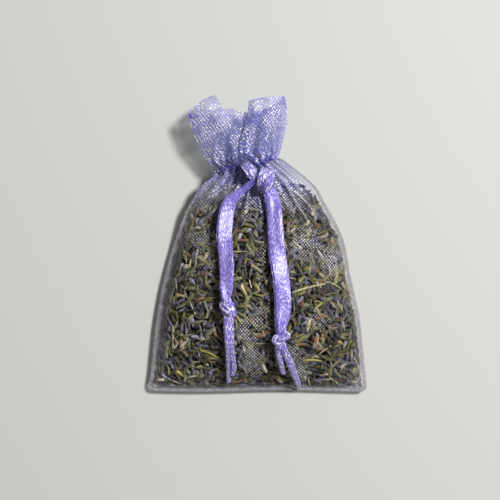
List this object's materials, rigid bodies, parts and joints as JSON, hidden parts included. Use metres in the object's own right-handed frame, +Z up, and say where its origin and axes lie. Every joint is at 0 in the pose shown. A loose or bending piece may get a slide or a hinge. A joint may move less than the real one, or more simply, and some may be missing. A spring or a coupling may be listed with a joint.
{
  "type": "lavender sachet",
  "caption": "Sheer organza drawstring pouch filled with dried lavender buds, gathered at the neck, with a flared ruffle and a knotted ribbon tie.",
  "frame": {"origin": "centre of the pouch's footprint on the table, cords left out", "axes": "+X to the right across the front, +Y from the bottom seam towards the ruffle, +Z up, out of the front cloth"},
  "size_m": [0.075, 0.1019, 0.0203],
  "materials": {
    "organza": "sheer woven organza, lilac, slightly lustrous",
    "seam": "overlocked double organza edge",
    "ribbon": "satin ribbon, lilac, lustrous",
    "lavender": "dried flower buds, matte, slate violet to olive",
    "stem": "dried flower stalk, matte straw"
  },
  "bodies": {
    "bag": {"front_panel": "organza", "back_panel": "organza", "left_side_seam": "seam", "right_side_seam": "seam", "bottom_seam": "seam", "neck_gather": "organza", "casing_ply": "organza", "left_drawcord_loop": "ribbon", "right_drawcord_loop": "ribbon", "tie_strand_left": "ribbon", "tie_strand_right": "ribbon", "lavender_fill": "lavender", "stem_01": "stem", "stem_02": "stem", "stem_03": "stem", "stem_04": "stem", "stem_05": "stem", "stem_06": "stem", "bud_01": "lavender", "bud_02": "lavender", "bud_03": "lavender", "bud_04": "lavender", "bud_05": "lavender", "bud_06": "lavender", "bud_07": "lavender", "bud_08": "lavender", "bud_09": "lavender", "bud_10": "lavender"},
    "left_tail": {"left_tail_lower_ply": "ribbon", "left_tail_upper_ply": "ribbon", "left_tail_knot": "ribbon", "left_short_end": "ribbon", "left_long_end": "ribbon"},
    "right_tail": {"right_tail_lower_ply": "ribbon", "right_tail_upper_ply": "ribbon", "right_tail_knot": "ribbon", "right_short_end": "ribbon", "right_long_end": "ribbon"},
    "ruffle": {"ruffle_front": "organza", "ruffle_back": "organza"}
  },
  "joints": [
    {"name": "left_tail_lift", "type": "hinge", "parent": "bag", "child": "left_tail", "pos_m": [-0.0045, 0.0176, 0.0147], "axis": [-1, 0, 0], "range_deg": [0, 90]},
    {"name": "right_tail_lift", "type": "hinge", "parent": "bag", "child": "right_tail", "pos_m": [0.0039, 0.0175, 0.0147], "axis": [-1, 0, 0], "range_deg": [0, 90]},
    {"name": "ruffle_fold", "type": "hinge", "parent": "bag", "child": "ruffle", "pos_m": [-0.0033, 0.03136, 0.007], "axis": [1, 0, 0], "range_deg": [0, 30]}
  ]
}
